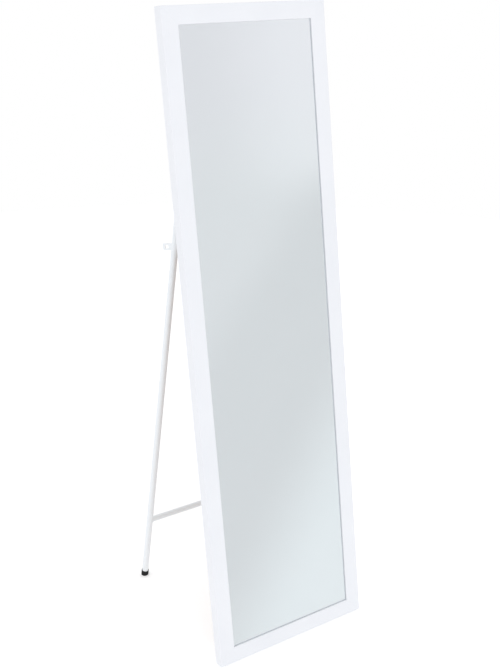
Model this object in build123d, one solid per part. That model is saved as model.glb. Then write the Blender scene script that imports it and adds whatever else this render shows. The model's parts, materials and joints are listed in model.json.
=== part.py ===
from build123d import *

import os
from math import cos, radians, sin, tan

# Floor mirror that leans back on a folding two-leg tube stand. Sizes are millimetres and degrees.
# Each piece is first drawn on the mirror standing upright: X to the right, Y backwards from the
# back of the frame, Z up from the frame's foot. At the end the whole object leans back, and its
# origin goes to the middle of its footprint, at the floor.

# Whole object
frame_width = 420.0
frame_height = 1500.0
lean = 9.4
stand_opening = 20.0

# Frame moulding
face_width = 39.0
frame_depth = 26.5
crest_inset = 16.0
outer_fall = 1.3
inner_fall = 1.0
lip_thickness = 4.4
rebate_width = 7.0
outer_edge_radius = 1.2
inner_edge_radius = 0.8

# Layers in the rebate
glass_thickness = 2.0
foam_thickness = 1.0
foam_width = 6.0
panel_thickness = 3.0
glass_seat_gap = 0.1
pane_side_gap = 1.0

# Small steel pieces of the frame
point_length = 14.0
point_width = 6.0
point_thickness = 0.6
point_bite = 8.0
point_end_gap = 130.0
points_per_stile = 6
points_per_rail = 2
nail_leg = 7.0
nail_thickness = 0.8
nail_depth = 10.0
nail_first_inset = 11.0
nail_edge_gap = 1.0
driven_gap = 0.05

# Stand
leg_inset = 37.5
leg_radius = 8.0
leg_wall = 1.2
leg_top_reach = 8.5
pivot_height = 1155.8
leg_standoff = 6.0
crossbar_radius = 7.5
crossbar_wall = 1.2
crossbar_reach = 968.0
weld_gap = 0.02
plug_flange = 1.0
plug_depth = 10.0
cap_wall = 1.5
cap_height = 16.0
cap_floor = 4.5
cap_fit_gap = 0.05
cap_groove_width = 1.4
cap_groove_depth = 0.5
cap_groove_drops = (5.0, 8.2)

# Leg hinge
hinge_bolt_radius = 3.0
hinge_bolt_gap = 0.08
washer_thickness = 1.0
washer_radius = 7.0
washer_bore_gap = 0.06
side_play = 0.1
bracket_gauge = 2.0
bracket_flange = 22.0
bracket_corner_radius = 4.0
bend_inner_radius = 1.2
hinge_bracket_height = 44.0
hinge_ear_radius = 10.0
bolt_head_height = 4.0
bolt_across_flats = 10.0
hexagon_chamfer = 0.8
nut_height = 6.0
bolt_tail = 1.5

# Stays and their brackets
stay_slope = 5.0
stay_gauge = 2.0
stay_width = 16.0
stay_neck = 4.3
stay_tail = 75.0
stay_standoff = 6.0
stay_leg_gap = 1.5
stay_hook_gap = 0.3
finger_slot_length = 16.0
finger_slot_width = 8.0
finger_slot_inset = 19.0
stud_reach = 176.1
stud_radius = 2.5
stud_head_radius = 4.5
stud_head_height = 1.2
stud_head_gap = 0.3
stay_rivet_radius = 2.5
stay_rivet_gap = 0.08
rivet_head_radius = 4.5
rivet_head_height = 0.9
rivet_tail_height = 1.8
stay_ear_gap = 0.5
stay_ear_radius = 8.0
stay_bracket_height = 34.0

# Wood screws
screw_radius = 2.0
screw_length = 16.0
screw_head_radius = 3.8
screw_head_height = 1.8
screw_tip = 5.0
screw_hole_gap = 0.03
screw_edge = 9.0

margin = 1.0

# Places that follow from the sizes
half_width = frame_width / 2
leg_x = leg_inset - half_width
glass_front = -(frame_depth - lip_thickness - glass_seat_gap)
glass_back = glass_front + glass_thickness
foam_back = glass_back + foam_thickness
panel_back = foam_back + panel_thickness
rebate_wall = face_width - rebate_width
pane_inset = rebate_wall + pane_side_gap
nail_insets = (nail_first_inset, rebate_wall - nail_leg - nail_edge_gap)
cap_radius = leg_radius + cap_wall
pivot_offset = leg_radius + leg_standoff
pivot = Vector(leg_x, pivot_offset, pivot_height)
leg_way = Vector(0, sin(radians(stand_opening)), -cos(radians(stand_opening)))
ear_gap_half = leg_radius + washer_thickness + side_play
ear_half = ear_gap_half + bracket_gauge
stay_outer_x = leg_x + leg_radius + stay_leg_gap
stay_inner_x = stay_outer_x + stay_gauge
stay_ear_x = stay_inner_x + stay_ear_gap
bracket_outer_x = leg_x - ear_half - bracket_flange


def on_leg(distance):
    """A point on the left leg's axis, so far down from its hinge."""
    return pivot + leg_way * distance


# The stay's centre line passes the stud with its neck above, and rises to its own pivot
stud_place = on_leg(stud_reach)
stay_pivot_offset = stay_width / 2 + stay_standoff
stay_run = stud_place.Y - stay_pivot_offset
stay_half_height = stay_width / 2 / cos(radians(stay_slope))
stay_at_stud = stud_place.Z + stud_radius + stay_hook_gap + stay_neck - stay_half_height
stay_pivot_height = stay_at_stud + stay_run * tan(radians(stay_slope))
stay_pivot = Vector(leg_x, stay_pivot_offset, stay_pivot_height)
stay_length = stay_run / cos(radians(stay_slope)) + stay_tail


# Helpers


def block(low, high):
    """A box between two opposite corners."""
    size = Vector(*high) - Vector(*low)
    middle = (Vector(*high) + Vector(*low)) * 0.5
    return Pos(middle.X, middle.Y, middle.Z) * Box(size.X, size.Y, size.Z)


def rod(radius, start, end):
    """A round bar between the centres of its two ends."""
    path = Vector(*end) - Vector(*start)
    plane = Plane(origin=Vector(*start), z_dir=path)
    return extrude(plane * Circle(radius), path.length)


def x_rod(radius, centre, x_from, x_to):
    """A round bar along X through the Y and Z of a centre."""
    return rod(radius, (x_from, centre.Y, centre.Z), (x_to, centre.Y, centre.Z))


def x_hexagon(across_flats, centre, x_from, x_to):
    """A hexagonal bar along X with turned-down corners, for bolt heads and nuts."""
    plane = Plane(origin=(x_from, centre.Y, centre.Z), x_dir=(0, 1, 0), z_dir=(1, 0, 0))
    outline = RegularPolygon(across_flats / 2, 6, major_radius=False)
    turned = x_rod(across_flats / 2 / cos(radians(30)), centre, x_from, x_to)
    turned = chamfer(turned.edges().filter_by(GeomType.CIRCLE), hexagon_chamfer * 0.5, hexagon_chamfer)
    return extrude(plane * outline, x_to - x_from) & turned


def x_plate(outline, x_from, x_to):
    """A flat sheet along X, from an outline drawn with Y across and Z up."""
    plane = Plane(origin=(x_from, 0, 0), x_dir=(0, 1, 0), z_dir=(1, 0, 0))
    return extrude(plane * outline, x_to - x_from)


def other_side(shape):
    """The same piece on the right of the mirror."""
    return mirror(shape, about=Plane.YZ)


def both_sides(shapes):
    """Solids on the left, with their twins on the right."""
    return shapes + [other_side(shape) for shape in shapes]


# Frame


def moulding(length):
    """A mitred length along Z: outer edge at X = 0, inner edge at +X, back face at Y = 0."""
    crest = -frame_depth
    outer_edge = crest + outer_fall
    inner_edge = crest + inner_fall
    seat = crest + lip_thickness
    corners = [
        (0, 0),
        (0, outer_edge),
        (crest_inset, crest),
        (face_width, inner_edge),
        (face_width, seat),
        (rebate_wall, seat),
        (rebate_wall, 0),
    ]
    section = make_face(Polyline(*corners, close=True))
    outer_corner = section.vertices().sort_by_distance((0, outer_edge, 0))[0]
    section = fillet(outer_corner, outer_edge_radius)
    inner_corner = section.vertices().sort_by_distance((face_width, inner_edge, 0))[0]
    section = fillet(inner_corner, inner_edge_radius)
    bar = extrude(Plane.XY * section, length, dir=(0, 0, 1))
    mitres = [(0, 0), (face_width, face_width), (face_width, length - face_width), (0, length)]
    reach = Plane(origin=(0, margin, 0), x_dir=(1, 0, 0), z_dir=(0, -1, 0))
    ends = extrude(reach * make_face(Polyline(*mitres, close=True)), frame_depth + 2 * margin)
    return bar & ends


def make_frame():
    """Two stiles and two rails, before anything is driven into them."""
    left = Pos(-half_width, 0, 0) * moulding(frame_height)
    bar = moulding(frame_width)
    return {
        "left_stile": left,
        "right_stile": other_side(left),
        "bottom_rail": Pos(half_width, 0, 0) * Rot(0, -90, 0) * bar,
        "top_rail": Pos(-half_width, 0, frame_height) * Rot(0, 90, 0) * bar,
    }


def layer(front, back, inset):
    """A flat sheet in the frame, set in from the frame's outline all round."""
    low = (-half_width + inset, front, inset)
    high = (half_width - inset, back, frame_height - inset)
    return block(low, high)


def make_foam():
    """Four foam strips between the glass and the panel, butted at the corners."""
    outer_x = half_width - pane_inset
    inner_x = outer_x - foam_width
    low_z = pane_inset
    high_z = frame_height - pane_inset
    side = block((-outer_x, glass_back, low_z), (-inner_x, foam_back, high_z))
    bottom = block((-inner_x, glass_back, low_z), (inner_x, foam_back, low_z + foam_width))
    top = block((-inner_x, glass_back, high_z - foam_width), (inner_x, foam_back, high_z))
    return [side, other_side(side), bottom, top]


def spread(length, count, end_gap):
    """Evenly spaced places along a length, the first and last a gap from its ends."""
    step = (length - 2 * end_gap) / (count - 1)
    return [end_gap + step * index for index in range(count)]


def make_points(gap=0.0):
    """Steel points driven into the rebate wall behind the panel; a gap makes their slots."""
    start = rebate_wall - point_bite - gap
    end = start + point_length + 2 * gap
    y_low = panel_back - gap
    y_high = panel_back + point_thickness + gap
    half = point_width / 2 + gap
    found = []
    for z in spread(frame_height, points_per_stile, point_end_gap):
        side = block((-half_width + start, y_low, z - half), (-half_width + end, y_high, z + half))
        found += both_sides([side])
    for x in spread(frame_width, points_per_rail, point_end_gap):
        across = x - half_width
        found.append(block((across - half, y_low, start), (across + half, y_high, end)))
        top_low = (across - half, y_low, frame_height - end)
        found.append(block(top_low, (across + half, y_high, frame_height - start)))
    return found


def make_nails(gap=0.0):
    """V nails across each mitre at the back; a gap makes their slots."""
    thin = nail_thickness / 2 + gap
    far = nail_leg + gap
    deep = -nail_depth - gap
    found = []
    for inset in nail_insets:
        along_rail = block((-thin, deep, -thin), (far, 0, thin))
        along_stile = block((-thin, deep, -thin), (thin, 0, far))
        nail = Pos(-half_width + inset, 0, inset) * (along_rail + along_stile)
        upper = Pos(0, 0, frame_height) * mirror(nail, about=Plane.XY)
        found += both_sides([nail, upper])
    return found


def screw(centre, gap=0.0):
    """A pan head wood screw driven forwards; a gap makes its hole in the metal and wood."""
    shank_end = centre + Vector(0, -(screw_length - screw_tip) - bracket_gauge, 0)
    shank = rod(screw_radius + gap, centre, shank_end)
    tip_plane = Plane(origin=shank_end, z_dir=(0, -1, 0))
    tip = extrude(tip_plane * Circle(screw_radius + gap), screw_tip, taper=15)
    if gap:
        return shank + tip
    head = rod(screw_head_radius, centre, centre + Vector(0, screw_head_height, 0))
    rim = head.edges().filter_by(GeomType.CIRCLE).sort_by(Axis.Y)[-1]
    head = fillet(rim, screw_head_height * 0.6)
    slot_half = screw_radius * 0.25
    slot_low = screw_head_height * 0.5
    reach = screw_head_radius * 0.55
    top = screw_head_height + margin
    across = block((-reach, slot_low, -slot_half), (reach, top, slot_half))
    upright = block((-slot_half, slot_low, -reach), (slot_half, top, reach))
    cross = Pos(centre.X, centre.Y, centre.Z) * (across + upright)
    return shank + tip + (head - cross)


# Hinge of the stand


def screw_places(height, bracket_height):
    """The two screws of a left bracket, one near each end of its flange."""
    x = bracket_outer_x + bracket_flange / 2
    reach = bracket_height / 2 - screw_edge
    return [Vector(x, bracket_gauge, height + side * reach) for side in (-1, 1)]


def base_plate(inner_x, height, plate_height):
    """A bracket's plate from the stile's flange inwards, with round corners and a bent inner edge."""
    half = plate_height / 2
    low = (bracket_outer_x, 0, height - half)
    plate = block(low, (inner_x, bracket_gauge, height + half))
    plate = fillet(plate.edges().filter_by(Axis.Y), bracket_corner_radius)
    bend = plate.edges().filter_by(Axis.Z).filter_by_position(Axis.Y, -margin, bracket_gauge / 2)
    return fillet(bend.sort_by(Axis.X)[-1], bracket_gauge * 0.75)


def bend_fillet(bracket, ear_x, side, height, ear_half_height):
    """Metal in the inside corner where an ear is bent up from the plate."""
    size = bend_inner_radius
    corner = Pos(ear_x + side * size / 2, bracket_gauge + size / 2) * Rectangle(size, size)
    corner -= Pos(ear_x + side * size, bracket_gauge + size) * Circle(size)
    low = Plane.XY.offset(height - ear_half_height)
    return bracket + extrude(low * corner, 2 * ear_half_height)


def make_hinge_bracket():
    """Folded steel channel: a flange on the stile, and an ear each side of the leg."""
    inner_x = leg_x + ear_half
    base = base_plate(inner_x, pivot_height, hinge_bracket_height)
    foot = Pos(pivot_offset / 2, pivot_height) * Rectangle(pivot_offset, 2 * hinge_ear_radius)
    outline = foot + Pos(pivot_offset, pivot_height) * Circle(hinge_ear_radius)
    outer_ear = x_plate(outline, leg_x - ear_half, leg_x - ear_gap_half)
    inner_ear = x_plate(outline, leg_x + ear_gap_half, inner_x)
    bolt_reach = ear_half + margin
    bolt_hole = x_rod(hinge_bolt_radius + hinge_bolt_gap, pivot, leg_x - bolt_reach, leg_x + bolt_reach)
    bracket = base + outer_ear + inner_ear - bolt_hole
    bracket = bend_fillet(bracket, leg_x - ear_half, -1, pivot_height, hinge_ear_radius)
    bracket = bend_fillet(bracket, leg_x + ear_gap_half, -1, pivot_height, hinge_ear_radius)
    for place in screw_places(pivot_height, hinge_bracket_height):
        bracket -= screw(place, screw_hole_gap)
    return bracket


def make_hinge_bolt():
    """Hexagon bolt through both ears and the leg."""
    head_x = leg_x - ear_half
    end_x = leg_x + ear_half + nut_height + bolt_tail
    shank = x_rod(hinge_bolt_radius, pivot, head_x, end_x)
    return shank + x_hexagon(bolt_across_flats, pivot, head_x - bolt_head_height, head_x)


def make_hinge_nut():
    """Lock nut on the inner ear: a hexagon under a round collar."""
    start = leg_x + ear_half
    hexagon_end = start + nut_height * 0.7
    nut = x_hexagon(bolt_across_flats, pivot, start, hexagon_end)
    nut += x_rod(bolt_across_flats * 0.45, pivot, hexagon_end, start + nut_height)
    return nut - x_rod(hinge_bolt_radius, pivot, start - margin, start + nut_height + margin)


def make_hinge_washers():
    """A plastic washer each side of the left leg."""
    found = []
    for x_from in (leg_x - ear_gap_half, leg_x + ear_gap_half - washer_thickness):
        x_to = x_from + washer_thickness
        ring = x_rod(washer_radius, pivot, x_from, x_to)
        bore = x_rod(hinge_bolt_radius + washer_bore_gap, pivot, x_from - margin, x_to + margin)
        found.append(ring - bore)
    return found


# Stand


def floor_distance():
    """How far down the leg's axis the floor lies."""
    lean_angle = radians(lean)
    pivot_above_floor = pivot_height * cos(lean_angle) - pivot_offset * sin(lean_angle)
    return pivot_above_floor / cos(radians(stand_opening - lean))


def floor_below(shape):
    """The part of a piece above the floor, which lies aslant on the upright mirror."""
    size = frame_height
    slab = Rot(lean, 0, 0) * Pos(0, 0, size) * Box(2 * size, 4 * size, 2 * size)
    return shape & slab


def make_leg():
    """Steel tube with its bolt hole, and a hole in the inner wall for the stay's stud."""
    top = on_leg(-leg_top_reach)
    bottom = on_leg(floor_distance() - cap_floor)
    tube = rod(leg_radius, top, bottom)
    tube -= rod(leg_radius - leg_wall, top - leg_way * margin, bottom + leg_way * margin)
    bolt_reach = leg_radius + margin
    bolt_hole = x_rod(hinge_bolt_radius + hinge_bolt_gap, pivot, leg_x - bolt_reach, leg_x + bolt_reach)
    stud_hole = x_rod(stud_radius, stud_place, leg_x, leg_x + leg_radius + margin)
    return tube - bolt_hole - stud_hole


def make_leg_plug():
    """Plastic plug in the leg's top end, hollowed for the bolt."""
    top = on_leg(-leg_top_reach)
    flange = rod(leg_radius, top - leg_way * plug_flange, top)
    outer_rim = flange.edges().filter_by(GeomType.CIRCLE).sort_by(Axis.Z)[-1]
    flange = fillet(outer_rim, plug_flange * 0.7)
    body = rod(leg_radius - leg_wall, top, top + leg_way * (plug_depth + hinge_bolt_radius))
    room = x_rod(hinge_bolt_radius + side_play, pivot, leg_x - leg_radius, leg_x + leg_radius)
    return flange + body - room


def make_foot_cap():
    """Rubber cup on the leg's foot, cut flat where it stands on the floor."""
    ground = floor_distance()
    mouth = ground - cap_height
    cup = rod(cap_radius, on_leg(mouth), on_leg(ground + cap_radius))
    rim = cup.edges().filter_by(GeomType.CIRCLE).sort_by(Axis.Z)[-1]
    cup = fillet(rim, (cap_radius - leg_radius) * 0.5)
    cup -= rod(leg_radius + cap_fit_gap, on_leg(mouth - margin), on_leg(ground - cap_floor))
    for drop in cap_groove_drops:
        groove_top = on_leg(mouth + drop)
        groove_bottom = on_leg(mouth + drop + cap_groove_width)
        groove = rod(cap_radius + margin, groove_top, groove_bottom)
        cup -= groove - rod(cap_radius - cap_groove_depth, groove_top, groove_bottom)
    return floor_below(cup)


def make_crossbar():
    """Tube welded between the legs, its ends cut to sit round them."""
    centre = on_leg(crossbar_reach)
    bar = x_rod(crossbar_radius, centre, leg_x, -leg_x)
    bar -= x_rod(crossbar_radius - crossbar_wall, centre, leg_x, -leg_x)
    seat_top = on_leg(crossbar_reach - 4 * leg_radius)
    seat_bottom = on_leg(crossbar_reach + 4 * leg_radius)
    left_seat = rod(leg_radius + weld_gap, seat_top, seat_bottom)
    return bar - left_seat - other_side(left_seat)


def make_stay_stud():
    """Headed stud in the leg's inner wall, which the stay hooks over."""
    head_x = stay_inner_x + stud_head_gap
    shank = x_rod(stud_radius, stud_place, leg_x + leg_radius - leg_wall, head_x)
    return shank + x_rod(stud_head_radius, stud_place, head_x, head_x + stud_head_height)


# Stays


def stay_outline():
    """Strap with a round head, a hook that drops over the stud, and a finger slot in its tail."""
    head = Pos(stay_pivot_offset, stay_pivot_height)
    turn = Rot(0, 0, -stay_slope)
    half = stay_width / 2
    tail_radius = half * 0.6
    strap = Pos(stay_length / 2, 0) * Rectangle(stay_length, stay_width)
    tail_corners = strap.vertices().sort_by(Axis.X)[-2:]
    strap = fillet(tail_corners, tail_radius) + Circle(half)
    slot_x = stay_length - finger_slot_inset
    strap -= Pos(slot_x, 0) * SlotOverall(finger_slot_length, finger_slot_width)
    return (head * turn * strap) - hook_relief()


def hook_relief():
    """Room under the strap for the stud's whole way in, and a wall behind the stud's place."""
    ceiling = stud_reach - stud_radius - stay_hook_gap
    wall_y = stud_place.Y + stud_radius + stay_hook_gap
    start_y = stay_pivot_offset - stay_width
    swept = Rectangle(wall_y - start_y, 4 * stay_width)
    swept = Pos((wall_y + start_y) / 2, stud_place.Z) * swept
    return swept - Pos(pivot_offset, pivot_height) * Circle(ceiling)


def make_stay():
    """The left stay in its plane beside the leg."""
    strap = x_plate(stay_outline(), stay_outer_x, stay_inner_x)
    hole_radius = stay_rivet_radius + stay_rivet_gap
    return strap - x_rod(hole_radius, stay_pivot, stay_outer_x - margin, stay_inner_x + margin)


def make_stay_bracket():
    """Folded steel angle: a flange on the stile, and one ear inboard of the stay."""
    inner_x = stay_ear_x + bracket_gauge
    base = base_plate(inner_x, stay_pivot_height, stay_bracket_height)
    foot = Rectangle(stay_pivot_offset, 2 * stay_ear_radius)
    foot = Pos(stay_pivot_offset / 2, stay_pivot_height) * foot
    outline = foot + Pos(stay_pivot_offset, stay_pivot_height) * Circle(stay_ear_radius)
    bracket = base + x_plate(outline, stay_ear_x, inner_x)
    bracket = bend_fillet(bracket, stay_ear_x, -1, stay_pivot_height, stay_ear_radius)
    bracket -= x_rod(stay_rivet_radius, stay_pivot, stay_ear_x - margin, inner_x + margin)
    for place in screw_places(stay_pivot_height, stay_bracket_height):
        bracket -= screw(place, screw_hole_gap)
    return bracket


def make_stay_rivet():
    """Rivet through the stay and its ear, with a thin head beside the folded leg."""
    inner_x = stay_ear_x + bracket_gauge
    head_x = stay_outer_x - rivet_head_height
    shank = x_rod(stay_rivet_radius, stay_pivot, stay_outer_x, inner_x)
    head = x_rod(rivet_head_radius, stay_pivot, head_x, stay_outer_x)
    tail = x_rod(rivet_head_radius, stay_pivot, inner_x, inner_x + rivet_tail_height)
    rim = tail.edges().filter_by(GeomType.CIRCLE).sort_by(Axis.X)[-1]
    tail = fillet(rim, rivet_tail_height * 0.6)
    spacer = x_rod(rivet_head_radius, stay_pivot, stay_inner_x, stay_ear_x)
    return shank + head + tail + spacer


# The whole object


def make_parts():
    """Every piece on the upright mirror, each name with its list of solids."""
    hinge_screws = [screw(place) for place in screw_places(pivot_height, hinge_bracket_height)]
    stay_screws = [screw(place) for place in screw_places(stay_pivot_height, stay_bracket_height)]
    frame = make_frame()
    holes = make_points(driven_gap) + make_nails(driven_gap)
    for place in screw_places(pivot_height, hinge_bracket_height):
        holes += both_sides([screw(place, screw_hole_gap)])
    for place in screw_places(stay_pivot_height, stay_bracket_height):
        holes += both_sides([screw(place, screw_hole_gap)])
    parts = {name: [bar - holes] for name, bar in frame.items()}
    parts["mirror_glass"] = [layer(glass_front, glass_back, pane_inset)]
    parts["foam_strips"] = make_foam()
    parts["back_panel"] = [layer(foam_back, panel_back, pane_inset)]
    parts["panel_points"] = make_points()
    parts["mitre_nails"] = make_nails()
    parts["hinge_bracket_screws"] = both_sides(hinge_screws)
    parts["stay_bracket_screws"] = both_sides(stay_screws)
    parts["hinge_washers"] = both_sides(make_hinge_washers())
    parts["crossbar"] = [make_crossbar()]
    paired = {
        "hinge_bracket": make_hinge_bracket(),
        "hinge_bolt": make_hinge_bolt(),
        "hinge_nut": make_hinge_nut(),
        "leg": make_leg(),
        "leg_plug": make_leg_plug(),
        "foot_cap": make_foot_cap(),
        "stay_stud": make_stay_stud(),
        "stay": make_stay(),
        "stay_bracket": make_stay_bracket(),
        "stay_rivet": make_stay_rivet(),
    }
    for name, shape in paired.items():
        parts["left_" + name] = [shape]
        parts["right_" + name] = [other_side(shape)]
    return parts


def set_down(parts):
    """Lean every piece back and bring the middle of the footprint to the origin."""
    leaned = {}
    for name, shapes in parts.items():
        leaned[name] = [Rot(-lean, 0, 0) * shape for shape in shapes]
    boxes = [shape.bounding_box() for shapes in leaned.values() for shape in shapes]
    front = min(box.min.Y for box in boxes)
    rear = max(box.max.Y for box in boxes)
    shift = Pos(0, -(front + rear) / 2, 0)
    for name, place in {"stand hinge": pivot, "left stay pivot": stay_pivot}.items():
        print(name, (shift * Rot(-lean, 0, 0) * Pos(place.X, place.Y, place.Z)).position)
    return {name: [shift * shape for shape in shapes] for name, shapes in leaned.items()}


def main():
    os.makedirs("parts", exist_ok=True)
    for name, shapes in set_down(make_parts()).items():
        solids = [solid for shape in shapes for solid in shape.solids()]
        export_step(Compound(children=solids), f"parts/{name}.step")


main()
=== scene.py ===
import json
from math import atan2, cos, pi, radians, sin, sqrt

import bmesh
import bpy
from mathutils import Matrix, Vector

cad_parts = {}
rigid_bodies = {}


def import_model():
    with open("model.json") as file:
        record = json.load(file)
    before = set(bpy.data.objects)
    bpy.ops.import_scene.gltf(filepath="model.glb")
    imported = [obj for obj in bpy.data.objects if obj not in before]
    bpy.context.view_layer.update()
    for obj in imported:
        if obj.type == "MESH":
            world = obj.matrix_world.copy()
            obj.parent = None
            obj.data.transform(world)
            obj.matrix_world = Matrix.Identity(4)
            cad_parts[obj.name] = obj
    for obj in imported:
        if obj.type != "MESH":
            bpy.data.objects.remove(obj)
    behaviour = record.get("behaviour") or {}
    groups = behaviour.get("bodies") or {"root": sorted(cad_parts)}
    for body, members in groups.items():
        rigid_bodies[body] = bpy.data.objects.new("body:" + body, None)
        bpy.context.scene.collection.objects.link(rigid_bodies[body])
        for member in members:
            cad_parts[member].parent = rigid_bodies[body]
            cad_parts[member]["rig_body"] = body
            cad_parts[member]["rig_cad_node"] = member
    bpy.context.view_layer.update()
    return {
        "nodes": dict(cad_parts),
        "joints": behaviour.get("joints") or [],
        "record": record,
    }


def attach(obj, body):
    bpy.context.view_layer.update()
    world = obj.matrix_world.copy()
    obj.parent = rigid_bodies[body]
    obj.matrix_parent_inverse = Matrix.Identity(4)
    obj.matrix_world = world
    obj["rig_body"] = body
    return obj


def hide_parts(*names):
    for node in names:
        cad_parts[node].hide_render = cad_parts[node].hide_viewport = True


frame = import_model()
nodes = frame["nodes"]
joints = {joint["name"]: joint for joint in frame["joints"]}
record = frame["record"]

# Sizes in metres. Each piece is first made on the upright mirror: X to the right, Y backwards
# from the back of the frame, Z up from the frame's foot. settle() then leans it into place.
mm = 0.001
lean = radians(9.4)
stand_opening = radians(20)

# Frame moulding
face_width = 39 * mm
crest_inset = 16 * mm
outer_fall = 1.3 * mm
inner_fall = 1.0 * mm
lip_thickness = 4.4 * mm
rebate_width = 7 * mm
outer_edge_radius = 1.2 * mm
inner_edge_radius = 0.8 * mm
crest_softness = 2.5 * mm
back_edge_radius = 0.5 * mm
mitre_groove = 0.16 * mm
nail_stand = 0.12 * mm  # how far the nails stand out of the frame's back

# Pane and back panel
arris = 0.1 * mm
glass_over_silver = 0.25 * mm
coat_thickness = 0.05 * mm
coat_gap = 0.01 * mm
coat_edge_radius = 0.01 * mm
panel_edge_radius = 0.5 * mm

# Stand
pivot_height = 1155.8 * mm
pivot_offset = 14 * mm
leg_radius = 8 * mm
leg_wall = 1.2 * mm
leg_top_reach = 8.5 * mm
leg_rim_radius = 0.25 * mm
crossbar_radius = 7.5 * mm
crossbar_wall = 1.2 * mm
crossbar_reach = 968 * mm
bead_radius = 1.5 * mm
bead_seat = 0.3 * bead_radius
bead_ripples = 26
bead_ripple_height = 0.16 * mm
bead_ripple_slant = 900  # radians per metre across the bead
plug_flange = 1 * mm
plug_rim_radius = 0.75 * mm
plug_stem = 4 * mm
cap_radius = 9.5 * mm
cap_height = 16 * mm
cap_floor = 4.5 * mm
cap_fit_gap = 0.05 * mm
cap_groove_width = 1.4 * mm
cap_groove_depth = 0.5 * mm
cap_groove_drops = (5 * mm, 8.2 * mm)
cap_rim_radius = 0.7 * mm
cap_sole_radius = 0.5 * mm

# Eased edges of the small steel pieces
bracket_ease = 0.25 * mm
stay_ease = 0.3 * mm
washer_ease = 0.15 * mm
stud_ease = 0.15 * mm
bolt_ease = 0.12 * mm
screw_ease = 0.08 * mm
edge_angle = 34  # degrees, above which an edge counts as sharp
flat_angle = 0.6  # degrees, below which neighbouring faces are one flat

# Studio
camera_lens = 57.17
camera_place = (-1.3252, -1.9347, 1.6594)
camera_turn = (68.386, -0.850, -34.289)
floor_radius = 4
floor_glow = 0.25
soft_light = (0.9, 0.905, 0.92)
softboxes = {  # width, watts, place and aim
    "key_softbox": (1.2, 6, (-1.0, -2.0, 2.8), (0, 0, 1.2)),
    "left_softbox": (1.4, 0.8, (-2.2, 1.6, 1.6), (0, 0.1, 0.8)),
    "right_softbox": (1.4, 3.5, (2.2, 0.9, 1.6), (0, 0.1, 0.6)),
}

# Grey sweep seen in reflections. Angles are in degrees: bearings to the right of the sweep's
# middle, heights above the horizon. A fade is the level where a band starts and where it is full.
sweep_bearing = 33
sweep_grey = 0.693
reflection_gain = 1.13
upper_slant, upper_fade, upper_lift = 1.115, (-4.91, -0.52), 0.051
lower_slant, lower_fade, lower_lift = 1.445, (-11.11, -19.51), 0.151
right_slant, right_fade, right_lift = 0.048, (-2, 3.8), 0.088
right_rise = (0, 3.5)
ahead_fade = (26, 8)
sky_fade = (1, 9)
sky_red, sky_blue, lower_red = 0.024, 0.017, 0.023

# Tests on places and directions
merge_distance = 1e-6
near = 0.02 * mm
facing = 0.9

upright_pivot = Vector((0, pivot_offset, pivot_height))
turn = Matrix.Rotation(-lean, 4, "X")
lean_and_set = Matrix.Translation(Vector(joints["stand_fold"]["pos_m"]) - turn @ upright_pivot) @ turn
stand_upright = lean_and_set.inverted()
leg_way = Vector((0, sin(stand_opening), -cos(stand_opening)))
across_leg = Vector((0, cos(stand_opening), sin(stand_opening)))


# Camera


def set_camera():
    """A camera at standing eye height, left of the mirror's front."""
    camera = bpy.data.objects.new("studio_camera", bpy.data.cameras.new("studio_camera"))
    bpy.context.scene.collection.objects.link(camera)
    camera.data.lens = camera_lens
    camera.data.clip_start = 0.05
    camera.location = camera_place
    camera.rotation_euler = [radians(angle) for angle in camera_turn]
    bpy.context.scene.camera = camera


set_camera()


# Node trees


class Field:
    """A value that varies over a surface. Arithmetic on it adds Math nodes."""

    def __init__(self, tree, socket):
        self.tree = tree
        self.socket = socket

    def math(self, operation, *terms):
        return self.tree.add("ShaderNodeMath", {"operation": operation}, dict(enumerate(terms)))

    def __add__(self, other):
        return self.math("ADD", self, other)

    __radd__ = __add__

    def __sub__(self, other):
        return self.math("SUBTRACT", self, other)

    def __rsub__(self, other):
        return self.math("SUBTRACT", other, self)

    def __mul__(self, other):
        return self.math("MULTIPLY", self, other)

    __rmul__ = __mul__

    def __truediv__(self, other):
        return self.math("DIVIDE", self, other)

    def __rtruediv__(self, other):
        return self.math("DIVIDE", other, self)


class Tree:
    """The node tree of a material or of the studio's surroundings."""

    def __init__(self, owner):
        owner.use_nodes = True
        self.owner = owner
        self.nodes = owner.node_tree.nodes
        self.links = owner.node_tree.links

    def feed(self, socket, value):
        if isinstance(value, Field):
            self.links.new(value.socket, socket)
        else:
            socket.default_value = value

    def add(self, kind, settings=(), inputs=(), output=0):
        """Adds a node: its settings first, then a value or a link for each socket named."""
        node = self.nodes.new(kind)
        for setting, value in dict(settings).items():
            if setting == "stops":
                self.set_stops(node.color_ramp.elements, value)
            else:
                setattr(node, setting, value)
        for socket, value in dict(inputs).items():
            self.feed(node.inputs[socket], value)
        return Field(self, node.outputs[output])

    @staticmethod
    def set_stops(elements, stops):
        while len(elements) < len(stops):
            elements.new(0.5)
        for element, (place, level) in zip(elements, stops):
            element.position = place
            element.color = (level, level, level, 1)

    def ramp(self, value, *stops):
        """Remaps a value by stops of place and level."""
        return self.add("ShaderNodeValToRGB", {"stops": stops}, {"Fac": value})

    def smooth(self, value, low, high):
        """0 below low, 1 above high, with a smooth rise between them."""
        settings = {"interpolation_type": "SMOOTHSTEP"}
        inputs = {"Value": value, "From Min": low, "From Max": high}
        return self.add("ShaderNodeMapRange", settings, inputs)

    def mix(self, share, first, second):
        """A colour that goes from first to second as share goes from 0 to 1."""
        inputs = {0: share, 6: first, 7: second}
        return self.add("ShaderNodeMix", {"data_type": "RGBA"}, inputs, output=2)


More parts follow.
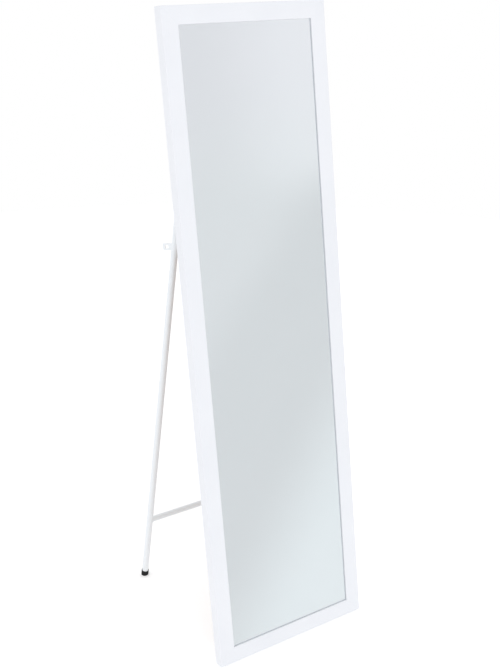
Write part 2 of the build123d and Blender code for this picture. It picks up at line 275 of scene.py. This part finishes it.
class Finish(Tree):
    """A procedural material. Its even values are set on the shader's own sockets."""

    def __init__(self, name, **even):
        super().__init__(bpy.data.materials.new(name))
        self.material = self.owner
        self.shader = self.nodes["Principled BSDF"]
        for socket, value in even.items():
            self.shader.inputs[socket.replace("_", " ")].default_value = value

    def place(self, scale=(1, 1, 1), turned=(0, 0, 0)):
        """Object coordinates, stretched and turned for a pattern that has a direction."""
        coordinates = self.add("ShaderNodeTexCoord", output="Object")
        return self.add("ShaderNodeMapping", {}, {"Vector": coordinates, "Rotation": turned, "Scale": scale})

    def noise(self, scale, detail=2.0, roughness=0.5, place=None, distortion=0.0):
        inputs = {
            "Vector": place or self.place(),
            "Scale": scale,
            "Detail": detail,
            "Roughness": roughness,
            "Distortion": distortion,
        }
        return self.add("ShaderNodeTexNoise", {}, inputs)

    def cells(self, scale, place=None):
        return self.add("ShaderNodeTexVoronoi", {}, {"Vector": place or self.place(), "Scale": scale})

    def set(self, socket, value):
        self.feed(self.shader.inputs[socket], value)

    def bump(self, height, distance, strength=1.0):
        inputs = {"Height": height, "Distance": distance, "Strength": strength}
        self.set("Normal", self.add("ShaderNodeBump", {}, inputs))


def rgb(red, green, blue):
    return (red, green, blue, 1.0)


# Finishes


def make_white_lacquer():
    """Satin white lacquer on the frame, very slightly blue, with a fine orange peel."""
    finish = Finish("white_lacquer", Coat_Weight=0.25, Coat_Roughness=0.18)
    clouds = finish.noise(9, detail=3)
    peel = finish.noise(900, detail=2, roughness=0.6)
    dust = finish.noise(5200, detail=1)
    shade = finish.ramp(clouds, (0.3, 0.0), (0.7, 1.0))
    finish.set("Base Color", finish.mix(shade, rgb(0.862, 0.88, 0.915), rgb(0.885, 0.9, 0.932)))
    finish.set("Roughness", 0.3 + 0.1 * finish.noise(60, detail=4) + 0.05 * dust)
    finish.bump(peel + 0.25 * dust, 0.012 * mm)
    return finish.material


def make_clear_glass():
    """Clear float glass with a faint green in its depth."""
    finish = Finish("clear_glass", IOR=1.5)
    haze = finish.noise(14, detail=3)
    finish.set("Base Color", finish.mix(haze, rgb(0.45, 0.6, 0.58), rgb(0.5, 0.64, 0.62)))
    finish.set("Roughness", 0.004 * finish.noise(35, detail=5))
    finish.set("Alpha", 0.035 + 0.01 * haze)
    return finish.material


def make_silvering():
    """The bright coat behind the glass."""
    finish = Finish("silvering", Metallic=1.0)
    clouds = finish.noise(5, detail=2)
    finish.set("Base Color", finish.mix(clouds, rgb(0.895, 0.93, 0.964), rgb(0.915, 0.945, 0.979)))
    finish.set("Roughness", 0.006 * finish.noise(20, detail=3))
    return finish.material


def make_backing_paint():
    """Grey paint that seals the silvering."""
    finish = Finish("backing_paint")
    mottle = finish.noise(70, detail=4)
    finish.set("Base Color", finish.mix(mottle, rgb(0.16, 0.17, 0.18), rgb(0.2, 0.21, 0.22)))
    finish.set("Roughness", 0.5 + 0.2 * mottle)
    finish.bump(finish.noise(1500, detail=3), 0.02 * mm)
    return finish.material


def make_hardboard():
    """Pressed brown fibre board with short fibres, dark flecks and a faint press pattern."""
    finish = Finish("hardboard", Specular_IOR_Level=0.3)
    turned = (lean, 0, 0)
    fibres = finish.noise(240, 6, 0.7, finish.place((1.0, 1.0, 0.22), turned), 1.4)
    crossing = finish.noise(260, 6, 0.7, finish.place((0.2, 1.0, 1.0), turned), 1.4)
    clouds = finish.noise(6, detail=4)
    flecks = finish.ramp(finish.noise(420, detail=3), (0.64, 0.0), (0.72, 1.0))
    tone = 0.45 * fibres + 0.35 * crossing + 0.35 * clouds
    spread = finish.ramp(tone, (0.36, 0.0), (0.78, 1.0))
    board = finish.mix(spread, rgb(0.21, 0.135, 0.082), rgb(0.46, 0.32, 0.205))
    finish.set("Base Color", finish.mix(0.55 * flecks, board, rgb(0.06, 0.032, 0.018)))
    finish.set("Roughness", 0.62 + 0.25 * fibres)
    finish.bump(fibres + crossing + 0.4 * flecks, 0.05 * mm)
    return finish.material


def make_powder_coat():
    """White powder coat on steel: an even orange peel with tiny craters."""
    finish = Finish("powder_coat", Coat_Weight=0.15, Coat_Roughness=0.3)
    peel = finish.noise(1300, detail=2, roughness=0.55)
    craters = finish.ramp(finish.cells(900), (0.0, 0.0), (0.22, 1.0))
    clouds = finish.noise(30, detail=3)
    finish.set("Base Color", finish.mix(clouds, rgb(0.87, 0.905, 0.93), rgb(0.895, 0.927, 0.95)))
    finish.set("Roughness", 0.36 + 0.12 * finish.noise(160, detail=3))
    finish.bump(peel + 0.3 * craters, 0.03 * mm)
    return finish.material


def make_zinc_steel():
    """Bright zinc plate: fine brushing, cloudy passivation and a few dull spots."""
    finish = Finish("zinc_plate", Metallic=1.0)
    brushing = finish.noise(2600, 3, 0.6, finish.place((0.12, 1.0, 1.0)))
    clouds = finish.noise(120, detail=4)
    spots = finish.ramp(finish.noise(900, detail=2), (0.62, 0.0), (0.74, 1.0))
    plate = finish.mix(clouds, rgb(0.55, 0.57, 0.6), rgb(0.72, 0.72, 0.7))
    finish.set("Base Color", finish.mix(0.4 * spots, plate, rgb(0.36, 0.36, 0.37)))
    finish.set("Roughness", 0.24 + 0.16 * brushing + 0.12 * clouds)
    finish.bump(brushing, 0.01 * mm)
    return finish.material


def make_black_rubber():
    """Matt black rubber with a moulded grain and a little dust."""
    finish = Finish("black_rubber", Specular_IOR_Level=0.35)
    grain = finish.cells(1500)
    dust = finish.ramp(finish.noise(260, detail=5), (0.48, 0.0), (0.75, 1.0))
    finish.set("Base Color", finish.mix(0.5 * dust, rgb(0.012, 0.012, 0.013), rgb(0.045, 0.044, 0.043)))
    finish.set("Roughness", 0.55 + 0.3 * finish.noise(400, detail=3))
    finish.bump(grain, 0.05 * mm)
    return finish.material


def make_nylon():
    """White moulded nylon with a soft sheen."""
    finish = Finish("white_nylon", Subsurface_Weight=0.15, Subsurface_Scale=1.5 * mm)
    clouds = finish.noise(180, detail=3)
    finish.set("Base Color", finish.mix(clouds, rgb(0.78, 0.785, 0.78), rgb(0.85, 0.85, 0.835)))
    finish.set("Roughness", 0.32 + 0.18 * finish.noise(500, detail=2))
    finish.bump(finish.noise(2200, detail=2), 0.012 * mm)
    return finish.material


def make_foam():
    """Pale grey closed cell foam tape."""
    finish = Finish("foam_tape")
    cells = finish.cells(1400)
    finish.set("Base Color", finish.mix(cells, rgb(0.3, 0.31, 0.32), rgb(0.52, 0.53, 0.54)))
    finish.set("Roughness", 0.8 + 0.15 * cells)
    finish.bump(cells, 0.15 * mm)
    return finish.material


finishes = {
    "frame_white": make_white_lacquer(),
    "mirror_glass": make_clear_glass(),
    "hardboard": make_hardboard(),
    "foam": make_foam(),
    "powder_coat": make_powder_coat(),
    "zinc_steel": make_zinc_steel(),
    "nylon": make_nylon(),
    "black_rubber": make_black_rubber(),
}
silvering_finish = make_silvering()
backing_finish = make_backing_paint()


# Making pieces by hand


def measure(node):
    """The lowest and highest corners of a CAD node on the upright mirror."""
    points = [stand_upright @ vertex.co for vertex in nodes[node].data.vertices]
    low = Vector([min(point[axis] for point in points) for axis in range(3)])
    high = Vector([max(point[axis] for point in points) for axis in range(3)])
    return low, high


def begin(name):
    """Names the new primitive and fixes its place in its mesh."""
    piece = bpy.context.active_object
    piece.name = name
    piece.data.name = name
    bpy.ops.object.transform_apply(location=True, rotation=True, scale=True)
    return piece


def block(name, low, high):
    """A block between two opposite corners."""
    bpy.ops.object.select_all(action="DESELECT")
    middle = (Vector(low) + Vector(high)) / 2
    bpy.ops.mesh.primitive_cube_add(size=1, location=middle, scale=Vector(high) - Vector(low))
    return begin(name)


def rod(name, start, end, radius, sides=64, ends="NGON"):
    """A round bar between two points."""
    bpy.ops.object.select_all(action="DESELECT")
    axis = Vector(end) - Vector(start)
    bpy.ops.mesh.primitive_cylinder_add(
        vertices=sides,
        radius=radius,
        depth=axis.length,
        end_fill_type=ends,
        location=(Vector(start) + Vector(end)) / 2,
        rotation=axis.to_track_quat("Z", "X").to_euler(),
    )
    return begin(name)


def work_on(piece):
    """Opens a piece in edit mode, with nothing else selected."""
    bpy.ops.object.select_all(action="DESELECT")
    piece.select_set(True)
    bpy.context.view_layer.objects.active = piece
    bpy.ops.object.mode_set(mode="EDIT")
    bpy.ops.mesh.select_all(action="SELECT")


def done():
    bpy.ops.mesh.select_all(action="DESELECT")
    bpy.ops.object.mode_set(mode="OBJECT")


def pick(kind, test):
    """Selects the points, edges or faces of the open piece that pass a test."""
    bpy.ops.mesh.select_mode(type=kind)
    bpy.ops.mesh.select_all(action="DESELECT")
    mesh = bmesh.from_edit_mesh(bpy.context.active_object.data)
    found = {"VERT": mesh.verts, "EDGE": mesh.edges, "FACE": mesh.faces}[kind]
    for item in found:
        if test(item):
            item.select_set(True)
    bmesh.update_edit_mesh(bpy.context.active_object.data)


def cut(point, normal, clear=False):
    """Cuts the whole open piece by a plane, and clears what is beyond it if asked."""
    bpy.ops.mesh.select_mode(type="FACE")
    bpy.ops.mesh.select_all(action="SELECT")
    bpy.ops.mesh.bisect(plane_co=point, plane_no=normal, clear_outer=clear, use_fill=clear)


def move(x=0.0, y=0.0, z=0.0):
    bpy.ops.transform.translate(value=(x, y, z))


def ease(radius, segments):
    """Rounds the picked edges."""
    bpy.ops.mesh.bevel(offset=radius, segments=segments, profile=0.5, affect="EDGES", clamp_overlap=True)


def modify(piece, kind, **settings):
    """Adds a modifier with its settings and applies it."""
    bpy.ops.object.select_all(action="DESELECT")
    piece.select_set(True)
    bpy.context.view_layer.objects.active = piece
    modifier = piece.modifiers.new(kind.lower(), kind)
    for setting, value in settings.items():
        setattr(modifier, setting, value)
    bpy.ops.object.modifier_apply(modifier=modifier.name)


def shade(piece, angle=32):
    """Smooth shading up to an angle, with the flat faces kept flat beside their eased edges."""
    bpy.ops.object.select_all(action="DESELECT")
    piece.select_set(True)
    bpy.context.view_layer.objects.active = piece
    bpy.ops.object.shade_smooth_by_angle(angle=radians(angle))
    modify(piece, "WEIGHTED_NORMAL", keep_sharp=True, weight=100)


def place(piece, matrix):
    """Moves a piece by a matrix and fixes that in its mesh."""
    bpy.ops.object.select_all(action="DESELECT")
    piece.select_set(True)
    bpy.context.view_layer.objects.active = piece
    piece.matrix_world = matrix @ piece.matrix_world
    bpy.ops.object.transform_apply(location=True, rotation=True, scale=True)


def settle(piece):
    """Leans an upright piece back into its place in the row frame."""
    place(piece, lean_and_set)


def twin(piece, name, matrix):
    """A copy with its own mesh, moved by a matrix."""
    bpy.ops.object.select_all(action="DESELECT")
    piece.select_set(True)
    bpy.context.view_layer.objects.active = piece
    bpy.ops.object.duplicate()
    copy = bpy.context.active_object
    copy.name = name
    copy.data.name = name
    place(copy, matrix)
    return copy


def other_side(piece, name):
    """A mirrored copy on the right of the mirror."""
    copy = twin(piece, name, Matrix.Scale(-1, 4, (1, 0, 0)))
    face_outwards(copy)
    return copy


def face_outwards(piece):
    work_on(piece)
    bpy.ops.mesh.remove_doubles(threshold=merge_distance)
    bpy.ops.mesh.normals_make_consistent(inside=False)
    done()


def hand_over(piece, body, slot, finish=None, replaced=()):
    """Gives a finished piece its material and its body, and hides the CAD nodes it stands for."""
    piece.data.materials.clear()
    piece.data.materials.append(finish or finishes[slot])
    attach(piece, body)
    if replaced:
        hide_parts(*replaced)


# Frame


def middle_of(face):
    return face.calc_center_median()


def along(edge, axis):
    """Whether an edge runs along an axis."""
    way = edge.verts[1].co - edge.verts[0].co
    return abs(way[axis]) > facing * way.length


def at(value, target):
    return abs(value - target) < near


def make_moulding(name, length, depth):
    """One mitred length: outer edge at X = 0, opening at +X, back face at Y = 0, length along Z."""
    crest = -depth
    seat = crest + lip_thickness
    rebate_wall = face_width - rebate_width
    bar = block(name, (0, crest, 0), (rebate_wall, 0, length))
    work_on(bar)
    cut((0, seat, 0), (0, 1, 0))
    pick("FACE", lambda face: face.normal.x > facing and middle_of(face).y < seat)
    bpy.ops.mesh.extrude_region_move(TRANSFORM_OT_translate={"value": (rebate_width, 0, 0)})
    cut((crest_inset, 0, 0), (1, 0, 0))
    pick("VERT", lambda point: at(point.co.x, 0) and at(point.co.y, crest))
    move(y=outer_fall)
    pick("VERT", lambda point: at(point.co.x, face_width) and at(point.co.y, crest))
    move(y=inner_fall)
    cut((0, 0, 0), (1, 0, -1), clear=True)
    cut((0, 0, length), (1, 0, 1), clear=True)
    outer_y = crest + outer_fall
    inner_y = crest + inner_fall
    spots = [
        ((0, outer_y), outer_edge_radius, 6),
        ((face_width, inner_y), inner_edge_radius, 5),
        ((crest_inset, crest), crest_softness, 4),
        ((0, 0), back_edge_radius, 3),
        ((rebate_wall, 0), back_edge_radius, 3),
    ]
    for (x, y), radius, segments in spots:
        pick("EDGE", lambda edge: along(edge, 2) and at(edge.verts[0].co.x, x) and at(edge.verts[0].co.y, y))
        ease(radius, segments)
    pick("FACE", lambda face: abs(face.normal.z) > 0.5)
    bpy.ops.mesh.region_to_loop()
    ease(mitre_groove, 2)
    done()
    return bar


def make_frame():
    """Two stiles and two rails, from one long and one short moulding."""
    low, high = measure("left_stile")
    half = measure("top_rail")[1].x
    height = high.z
    depth = -low.y
    stile = make_moulding("stile_moulding", height, depth)
    rail = make_moulding("rail_moulding", 2 * half, depth)
    round_y = [Matrix.Rotation(angle, 4, "Y") for angle in (pi / 2, pi, -pi / 2)]
    places = {
        "left_stile": (stile, Matrix.Translation((-half, 0, 0))),
        "right_stile": (stile, Matrix.Translation((half, 0, height)) @ round_y[1]),
        "bottom_rail": (rail, Matrix.Translation((half, 0, 0)) @ round_y[2]),
        "top_rail": (rail, Matrix.Translation((-half, 0, height)) @ round_y[0]),
    }
    for node, (moulding, matrix) in places.items():
        piece = twin(moulding, "lacquered_" + node, matrix)
        settle(piece)
        shade(piece, 20)
        hand_over(piece, "mirror", "frame_white", replaced=(node,))
    for moulding in (stile, rail):
        bpy.data.objects.remove(moulding)


def soften(name, low, high, radius, segments):
    """A sheet with all its edges eased."""
    sheet = block(name, low, high)
    work_on(sheet)
    ease(radius, segments)
    done()
    return sheet


def make_pane():
    """Clear glass, with its silver coat and paint close behind it."""
    low, high = measure("mirror_glass")
    glass_back = low.y + glass_over_silver
    silver_front = glass_back + coat_gap
    silver_back = silver_front + coat_thickness
    paint_front = silver_back + coat_gap
    glass = soften("glass_pane", low, (high.x, glass_back, high.z), arris, 3)
    silver_low = (low.x, silver_front, low.z)
    silver_high = (high.x, silver_back, high.z)
    silver = soften("silver_coat", silver_low, silver_high, coat_edge_radius, 1)
    paint = soften("backing_paint", (low.x, paint_front, low.z), high, coat_edge_radius, 1)
    for piece in (glass, silver, paint):
        settle(piece)
        shade(piece)
    hand_over(glass, "mirror", "mirror_glass", replaced=("mirror_glass",))
    hand_over(silver, "mirror", "mirror_glass", silvering_finish)
    hand_over(paint, "mirror", "mirror_glass", backing_finish)


def make_back_panel():
    low, high = measure("back_panel")
    panel = soften("fibre_back_panel", low, high, panel_edge_radius, 2)
    settle(panel)
    shade(panel)
    hand_over(panel, "mirror", "hardboard", replaced=("back_panel",))


# Stand


leg_x = sum(corner.x for corner in measure("left_leg")) / 2


def on_leg(distance, x=leg_x):
    """A point on a leg's axis, so far down from its hinge."""
    return Vector((x, pivot_offset, pivot_height)) + leg_way * distance


def floor_distance():
    """How far down the leg's axis the floor lies."""
    start = lean_and_set @ on_leg(0)
    way = lean_and_set.to_3x3() @ leg_way
    return -start.z / way.z


def tube(name, start, end, radius, wall):
    """A tube with its rims eased."""
    piece = rod(name, start, end, radius, sides=96, ends="NOTHING")
    modify(piece, "SOLIDIFY", thickness=wall, offset=-1, use_even_offset=True)
    way = (Vector(end) - Vector(start)).normalized()
    work_on(piece)
    pick("FACE", lambda face: abs(face.normal.dot(way)) > facing)
    bpy.ops.mesh.region_to_loop()
    ease(leg_rim_radius, 2)
    done()
    return piece


def make_legs():
    top = on_leg(-leg_top_reach)
    bottom = on_leg(floor_distance() - cap_floor)
    leg = tube("left_leg_tube", top, bottom, leg_radius, leg_wall)
    settle(leg)
    finish_pair(leg, "left_leg", "stand", "powder_coat", 40)


def finish_pair(piece, node, body, slot, angle=32):
    """Shades a settled left piece, makes its right twin, and hands both over."""
    right = other_side(piece, piece.name.replace("left_", "right_"))
    for copy, side in ((piece, "left"), (right, "right")):
        shade(copy, angle)
        side_body = body.replace("left", side)
        hand_over(copy, side_body, slot, replaced=(node.replace("left", side),))


def seat_on_leg(point):
    """How far a point beside the leg moves towards it, so as to lie on its round side."""
    away = (point - on_leg(crossbar_reach)).dot(across_leg)
    return leg_radius - sqrt(max(leg_radius**2 - away**2, 0))


def make_crossbar():
    """A tube whose ends are shaped to the legs."""
    left = on_leg(crossbar_reach, leg_x + leg_radius)
    right = on_leg(crossbar_reach, -leg_x - leg_radius)
    bar = rod("welded_crossbar", left, right, crossbar_radius, sides=96, ends="NOTHING")
    for vertex in bar.data.vertices:
        vertex.co.x += seat_on_leg(vertex.co) * (1 if vertex.co.x > 0 else -1)
    modify(bar, "SOLIDIFY", thickness=crossbar_wall, offset=-1, use_even_offset=True)
    settle(bar)
    shade(bar, 40)
    hand_over(bar, "stand", "powder_coat", replaced=("crossbar",))


def make_weld_beads():
    """A rippled bead round the crossbar where it meets each leg."""
    centre = on_leg(crossbar_reach, leg_x + leg_radius)
    bpy.ops.object.select_all(action="DESELECT")
    bpy.ops.mesh.primitive_torus_add(
        major_radius=crossbar_radius + bead_seat,
        minor_radius=bead_radius,
        major_segments=208,
        minor_segments=16,
        location=centre,
        rotation=(0, pi / 2, 0),
    )
    bead = begin("left_weld_bead")
    for vertex in bead.data.vertices:
        spoke = vertex.co - centre
        spoke.x = 0
        angle = atan2(spoke.dot(across_leg), spoke.dot(leg_way))
        wave = bead_ripples * angle + bead_ripple_slant * vertex.co.x
        ripple = bead_ripple_height * sin(wave)
        vertex.co += spoke.normalized() * ripple
        vertex.co.x -= seat_on_leg(vertex.co)
    settle(bead)
    right = other_side(bead, "right_weld_bead")
    for piece in (bead, right):
        shade(piece, 60)
        hand_over(piece, "stand", "powder_coat")


def make_leg_plugs():
    """Domed plug in the top of each leg, with a stem inside the tube."""
    top = on_leg(-leg_top_reach)
    plug = rod("left_leg_end_plug", top - leg_way * plug_flange, top, leg_radius)
    work_on(plug)
    pick("FACE", lambda face: face.normal.dot(leg_way) < -facing)
    bpy.ops.mesh.region_to_loop()
    ease(plug_rim_radius, 5)
    pick("FACE", lambda face: face.normal.dot(leg_way) > facing)
    bpy.ops.mesh.inset(thickness=leg_wall + cap_fit_gap)
    bpy.ops.mesh.extrude_region_move(TRANSFORM_OT_translate={"value": leg_way * plug_stem})
    done()
    settle(plug)
    finish_pair(plug, "left_leg_plug", "stand", "nylon", 40)


def make_foot_caps():
    """Rubber cup with two grooves round it, cut flat where it stands."""
    ground = floor_distance()
    mouth = ground - cap_height
    cup = rod("left_rubber_foot", on_leg(mouth), on_leg(ground + cap_radius), cap_radius, sides=96)
    work_on(cup)
    levels = []
    for drop in cap_groove_drops:
        levels += [mouth + drop, mouth + drop + cap_groove_width]
    for level in levels:
        cut(on_leg(level), leg_way)
    for top, bottom in (levels[:2], levels[2:]):
        pick("FACE", lambda face: top < (middle_of(face) - on_leg(0)).dot(leg_way) < bottom)
        bpy.ops.mesh.extrude_region_shrink_fatten(TRANSFORM_OT_shrink_fatten={"value": -cap_groove_depth})
    pick("FACE", lambda face: face.normal.dot(leg_way) < -facing and len(face.verts) > 8)
    bpy.ops.mesh.region_to_loop()
    ease(cap_rim_radius, 4)
    pick("FACE", lambda face: face.normal.dot(leg_way) < -facing and len(face.verts) > 8)
    hollow = cap_radius - cap_rim_radius - leg_radius - cap_fit_gap
    bpy.ops.mesh.inset(thickness=hollow)
    bpy.ops.mesh.extrude_region_move(TRANSFORM_OT_translate={"value": leg_way * (cap_height - cap_floor)})
    done()
    settle(cup)
    work_on(cup)
    cut((0, 0, 0), (0, 0, -1), clear=True)
    pick("FACE", lambda face: face.normal.z < -facing and middle_of(face).z < 0.1 * mm)
    bpy.ops.mesh.region_to_loop()
    ease(cap_sole_radius, 3)
    done()
    finish_pair(cup, "left_foot_cap", "stand", "black_rubber", 40)


# Small steel pieces, finished from copies of the CAD solids


def finished_copy(node, radius):
    """A merged copy of a CAD node with its sharp edges eased, if it is given a radius."""
    bpy.ops.object.select_all(action="DESELECT")
    source = nodes[node]
    source.select_set(True)
    bpy.context.view_layer.objects.active = source
    bpy.ops.object.duplicate()
    piece = bpy.context.active_object
    piece.name = node + "_finished"
    piece.data.name = piece.name
    bpy.ops.object.parent_clear(type="CLEAR_KEEP_TRANSFORM")
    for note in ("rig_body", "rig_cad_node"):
        del piece[note]
    if piece.data.has_custom_normals:
        bpy.ops.mesh.customdata_custom_splitnormals_clear()
    work_on(piece)
    bpy.ops.mesh.remove_doubles(threshold=merge_distance)
    bpy.ops.mesh.dissolve_limited(angle_limit=radians(flat_angle))
    done()
    if radius:
        settings = {"limit_method": "ANGLE", "angle_limit": radians(edge_angle), "use_clamp_overlap": True}
        modify(piece, "BEVEL", width=radius, segments=2, **settings)
    shade(piece, edge_angle)
    return piece


def make_hardware():
    """Brackets, bolts, nuts, stays, rivets, studs, nails, screws, points and washers."""
    paired = {
        "hinge_bracket": ("mirror", "powder_coat", bracket_ease),
        "stay_bracket": ("mirror", "powder_coat", bracket_ease),
        "hinge_bolt": ("mirror", "zinc_steel", bolt_ease),
        "hinge_nut": ("mirror", "zinc_steel", bolt_ease),
        "stay_rivet": ("mirror", "zinc_steel", bolt_ease),
        "stay_stud": ("stand", "zinc_steel", stud_ease),
        "stay": ("{side}_stay", "powder_coat", stay_ease),
    }
    for kind, (body, slot, radius) in paired.items():
        for side in ("left", "right"):
            node = f"{side}_{kind}"
            piece = finished_copy(node, radius)
            hand_over(piece, body.format(side=side), slot, replaced=(node,))
    nails = finished_copy("mitre_nails", None)
    place(nails, Matrix.Translation(lean_and_set.to_3x3() @ Vector((0, nail_stand, 0))))
    hand_over(nails, "mirror", "zinc_steel", replaced=("mitre_nails",))
    grouped = {
        "hinge_bracket_screws": ("zinc_steel", screw_ease),
        "stay_bracket_screws": ("zinc_steel", screw_ease),
        "panel_points": ("zinc_steel", screw_ease),
        "hinge_washers": ("nylon", washer_ease),
    }
    for node, (slot, radius) in grouped.items():
        piece = finished_copy(node, radius)
        hand_over(piece, "mirror", slot, replaced=(node,))


make_frame()
make_pane()
make_back_panel()
make_legs()
make_crossbar()
make_weld_beads()
make_leg_plugs()
make_foot_caps()
make_hardware()


def dress_cad_nodes():
    """Gives every CAD node the finish of its slot, whether it still shows or not."""
    for part in record["subparts"]:
        node = nodes[part["node"]]
        node.data.materials.clear()
        node.data.materials.append(finishes[part["material_slot"]])


dress_cad_nodes()


# Studio


def keep_out_of_reflections(thing):
    thing.visible_glossy = False
    thing.visible_transmission = False


def make_floor():
    bpy.ops.object.select_all(action="DESELECT")
    bpy.ops.mesh.primitive_circle_add(vertices=128, radius=floor_radius, fill_type="NGON", location=(0, 0, 0))
    floor = begin("studio_floor")
    keep_out_of_reflections(floor)
    finish = Finish("studio_floor_paint", Specular_IOR_Level=0.1, Roughness=0.9, Emission_Strength=floor_glow)
    finish.shader.inputs["Emission Color"].default_value = rgb(1, 1, 1)
    clouds = finish.noise(2, detail=2)
    finish.set("Base Color", finish.mix(clouds, rgb(0.95, 0.95, 0.95), rgb(0.97, 0.97, 0.97)))
    floor.data.materials.append(finish.material)


def make_light(name, size, watts, place, aim):
    light = bpy.data.lights.new(name, "AREA")
    light.shape = "DISK"
    light.size = size
    light.energy = watts
    lamp = bpy.data.objects.new(name, light)
    bpy.context.scene.collection.objects.link(lamp)
    lamp.location = place
    lamp.rotation_euler = (Vector(aim) - Vector(place)).to_track_quat("-Z", "Y").to_euler()
    keep_out_of_reflections(lamp)


def make_surroundings():
    """White to the camera, soft light on surfaces, and a grey sweep with bright ends in reflections."""
    world = bpy.data.worlds.new("studio_surroundings")
    bpy.context.scene.world = world
    tree = Tree(world)
    way = tree.add("ShaderNodeTexCoord", output="Generated")
    parts = {axis: tree.add("ShaderNodeSeparateXYZ", {}, {0: way}, axis) for axis in "XYZ"}
    degree = 180 / pi
    bearing = way.math("ARCTAN2", parts["X"], -1 * parts["Y"]) * degree - sweep_bearing
    height = way.math("ARCSINE", parts["Z"]) * degree
    upper = tree.smooth(height - upper_slant * bearing, *upper_fade)
    lower = tree.smooth(height - lower_slant * bearing, *lower_fade)
    right = tree.smooth(bearing - right_slant * height, *right_fade) * tree.smooth(height, *right_rise)
    ahead = tree.smooth(bearing, *ahead_fade)
    sky = tree.smooth(height, *sky_fade)
    bright_ends = ahead * (lower_lift * lower + right_lift * right)
    grey = (sweep_grey + upper_lift * upper + bright_ends) * reflection_gain
    red = grey * (1 + sky_red * sky - lower_red * ahead * lower)
    blue = grey * (1 + sky_blue * sky)
    reflected = tree.add("ShaderNodeCombineColor", {}, {0: red, 1: grey, 2: blue})
    lights_surface = tree.add("ShaderNodeLightPath", output="Is Diffuse Ray")
    seen = tree.add("ShaderNodeLightPath", output="Is Camera Ray")
    unseen = tree.mix(lights_surface, reflected, rgb(*soft_light))
    background = tree.nodes["Background"]
    tree.feed(background.inputs["Color"], tree.mix(seen, unseen, rgb(1, 1, 1)))
    background.inputs["Strength"].default_value = 1.0


make_floor()
for softbox, setting in softboxes.items():
    make_light(softbox, *setting)
make_surroundings()

scene = bpy.context.scene
scene.view_settings.view_transform = "Standard"
scene.view_settings.look = "None"
